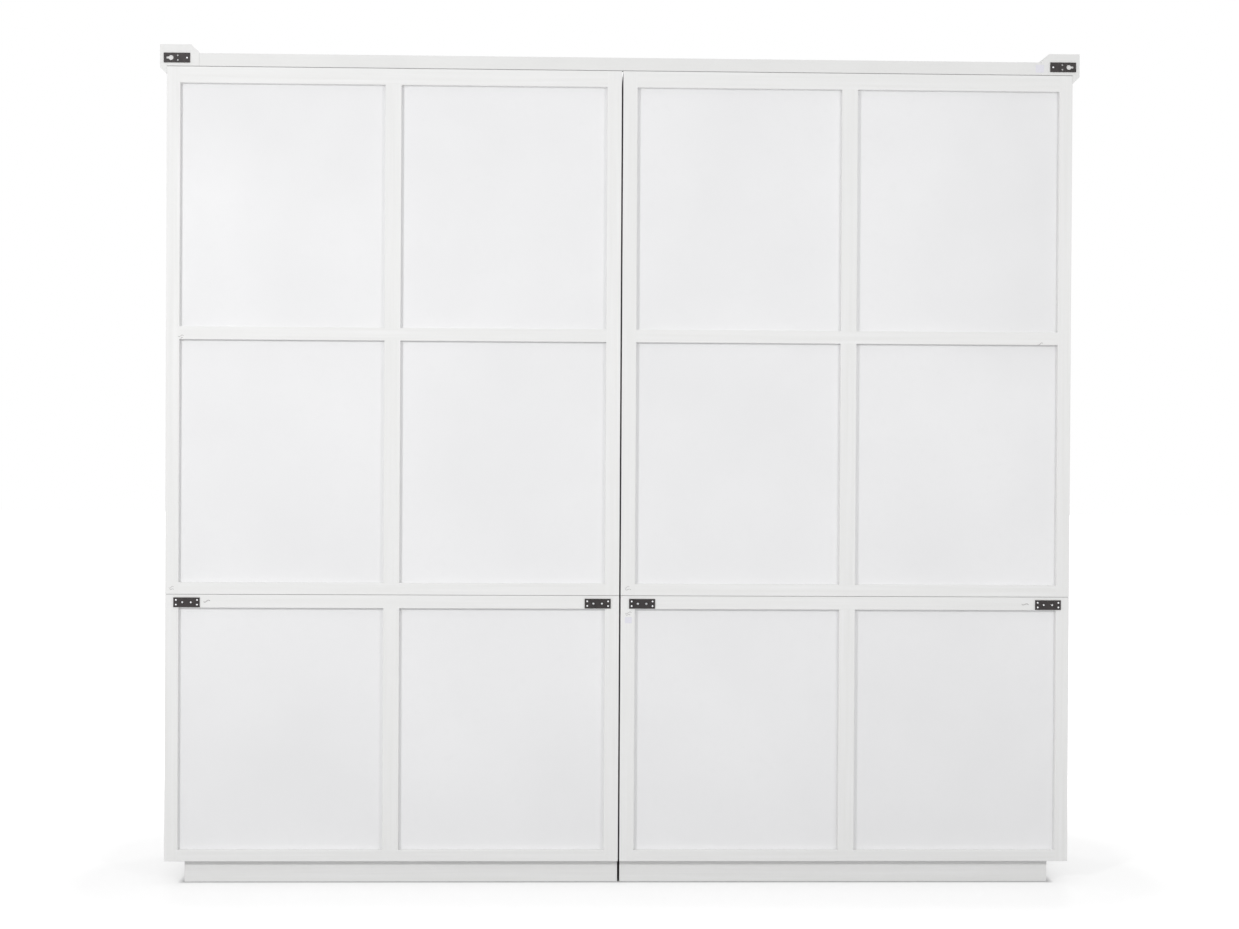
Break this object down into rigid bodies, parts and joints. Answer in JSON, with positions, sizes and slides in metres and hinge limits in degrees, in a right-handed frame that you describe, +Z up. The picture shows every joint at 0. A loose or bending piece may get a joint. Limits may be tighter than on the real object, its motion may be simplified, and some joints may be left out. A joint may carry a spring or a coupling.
{
  "type": "wall bed",
  "caption": "White panelled cabinet of side-by-side fold-down wall beds under a wide crown, on a set-back plinth; each framed front drops on side pivots with gas struts and a folding leg.",
  "frame": {"origin": "centre of the bounding box, on the floor under the plinths", "axes": "+X to the right seen from the front (the bed side), +Y towards the wall, +Z up; the front that folds down faces -Y"},
  "size_m": [2.376, 0.4596, 2.158],
  "materials": {
    "white_paint": "satin white paint on board",
    "mattress_ticking": "quilted cotton ticking",
    "slat_birch": "planed birch",
    "grey_steel": "grey powder coat",
    "dark_steel": "black satin steel",
    "polished_rod": "hard chrome",
    "plain_steel": "brushed zinc-plated steel"
  },
  "bodies": {
    "cabinet": {"crown_back_rail": "white_paint", "crown_moulding": "white_paint", "front_cover_strip": "white_paint", "left_bed_left_strut_mount": "plain_steel", "left_bed_right_strut_mount": "plain_steel", "left_bottom_board": "white_paint", "left_inner_anchor_plate": "dark_steel", "left_keyhole_plate": "dark_steel", "left_kick_board": "white_paint", "left_lower_back_frame": "white_paint", "left_lower_back_panel": "white_paint", "left_lower_inner_side": "white_paint", "left_lower_outer_side": "white_paint", "left_outer_anchor_plate": "dark_steel", "left_plinth": "white_paint", "left_top_board": "white_paint", "left_upper_back_frame": "white_paint", "left_upper_back_panel": "white_paint", "left_upper_inner_side": "white_paint", "left_upper_outer_side": "white_paint", "right_bed_left_strut_mount": "plain_steel", "right_bed_right_strut_mount": "plain_steel", "right_bottom_board": "white_paint", "right_inner_anchor_plate": "dark_steel", "right_keyhole_plate": "dark_steel", "right_kick_board": "white_paint", "right_lower_back_frame": "white_paint", "right_lower_back_panel": "white_paint", "right_lower_inner_side": "white_paint", "right_lower_outer_side": "white_paint", "right_outer_anchor_plate": "dark_steel", "right_plinth": "white_paint", "right_top_board": "white_paint", "right_upper_back_frame": "white_paint", "right_upper_back_panel": "white_paint", "right_upper_inner_side": "white_paint", "right_upper_outer_side": "white_paint"},
    "left_bed": {"left_face_frame": "white_paint", "left_face_panel": "white_paint", "left_bed_frame": "grey_steel", "left_slat_deck": "slat_birch", "left_mattress": "mattress_ticking", "left_leg_rail": "plain_steel"},
    "left_leg": {"left_leg": "plain_steel"},
    "left_bed_left_strut_cylinder": {"left_bed_left_cylinder": "dark_steel"},
    "left_bed_left_strut_rod": {"left_bed_left_rod": "polished_rod"},
    "left_bed_right_strut_cylinder": {"left_bed_right_cylinder": "dark_steel"},
    "left_bed_right_strut_rod": {"left_bed_right_rod": "polished_rod"},
    "right_bed": {"right_face_frame": "white_paint", "right_face_panel": "white_paint", "right_bed_frame": "grey_steel", "right_slat_deck": "slat_birch", "right_mattress": "mattress_ticking", "right_leg_rail": "plain_steel"},
    "right_leg": {"right_leg": "plain_steel"},
    "right_bed_left_strut_cylinder": {"right_bed_left_cylinder": "dark_steel"},
    "right_bed_left_strut_rod": {"right_bed_left_rod": "polished_rod"},
    "right_bed_right_strut_cylinder": {"right_bed_right_cylinder": "dark_steel"},
    "right_bed_right_strut_rod": {"right_bed_right_rod": "polished_rod"}
  },
  "joints": [
    {"name": "left_bed_fold", "type": "hinge", "parent": "cabinet", "child": "left_bed", "pos_m": [-0.586, -0.14275, 0.33], "axis": [1, 0, 0], "range_deg": [0, 90]},
    {"name": "left_leg_fold", "type": "hinge", "parent": "left_bed", "child": "left_leg", "pos_m": [-0.586, -0.21875, 2.048], "axis": [1, 0, 0], "range_deg": [-90, 0]},
    {"name": "left_bed_left_cylinder_swing", "type": "hinge", "parent": "cabinet", "child": "left_bed_left_strut_cylinder", "pos_m": [-1.1285, -0.10275, 0.71], "axis": [1, 0, 0], "range_deg": [0, 8.48]},
    {"name": "left_bed_left_rod_slide", "type": "slide", "parent": "left_bed_left_strut_cylinder", "child": "left_bed_left_strut_rod", "axis": [0, 0.0194, 0.9998], "range_m": [0, 0.1134]},
    {"name": "left_bed_right_cylinder_swing", "type": "hinge", "parent": "cabinet", "child": "left_bed_right_strut_cylinder", "pos_m": [-0.0435, -0.10275, 0.71], "axis": [1, 0, 0], "range_deg": [0, 8.48]},
    {"name": "left_bed_right_rod_slide", "type": "slide", "parent": "left_bed_right_strut_cylinder", "child": "left_bed_right_strut_rod", "axis": [0, 0.0194, 0.9998], "range_m": [0, 0.1134]},
    {"name": "right_bed_fold", "type": "hinge", "parent": "cabinet", "child": "right_bed", "pos_m": [0.586, -0.14275, 0.33], "axis": [1, 0, 0], "range_deg": [0, 90]},
    {"name": "right_leg_fold", "type": "hinge", "parent": "right_bed", "child": "right_leg", "pos_m": [0.586, -0.21875, 2.048], "axis": [1, 0, 0], "range_deg": [-90, 0]},
    {"name": "right_bed_left_cylinder_swing", "type": "hinge", "parent": "cabinet", "child": "right_bed_left_strut_cylinder", "pos_m": [0.0435, -0.10275, 0.71], "axis": [1, 0, 0], "range_deg": [0, 8.48]},
    {"name": "right_bed_left_rod_slide", "type": "slide", "parent": "right_bed_left_strut_cylinder", "child": "right_bed_left_strut_rod", "axis": [0, 0.0194, 0.9998], "range_m": [0, 0.1134]},
    {"name": "right_bed_right_cylinder_swing", "type": "hinge", "parent": "cabinet", "child": "right_bed_right_strut_cylinder", "pos_m": [1.1285, -0.10275, 0.71], "axis": [1, 0, 0], "range_deg": [0, 8.48]},
    {"name": "right_bed_right_rod_slide", "type": "slide", "parent": "right_bed_right_strut_cylinder", "child": "right_bed_right_strut_rod", "axis": [0, 0.0194, 0.9998], "range_m": [0, 0.1134]}
  ],
  "couplings": [
    {"joint": "left_leg_fold", "follows": "left_bed_fold", "ratio": -1},
    {"joint": "left_bed_left_cylinder_swing", "follows": "left_bed_fold", "ratio": 0.093955},
    {"joint": "left_bed_left_rod_slide", "follows": "left_bed_fold", "m_per_rad": 0.072064},
    {"joint": "left_bed_right_cylinder_swing", "follows": "left_bed_fold", "ratio": 0.093955},
    {"joint": "left_bed_right_rod_slide", "follows": "left_bed_fold", "m_per_rad": 0.072064},
    {"joint": "right_leg_fold", "follows": "right_bed_fold", "ratio": -1},
    {"joint": "right_bed_left_cylinder_swing", "follows": "right_bed_fold", "ratio": 0.093955},
    {"joint": "right_bed_left_rod_slide", "follows": "right_bed_fold", "m_per_rad": 0.072064},
    {"joint": "right_bed_right_cylinder_swing", "follows": "right_bed_fold", "ratio": 0.093955},
    {"joint": "right_bed_right_rod_slide", "follows": "right_bed_fold", "m_per_rad": 0.072064}
  ]
}
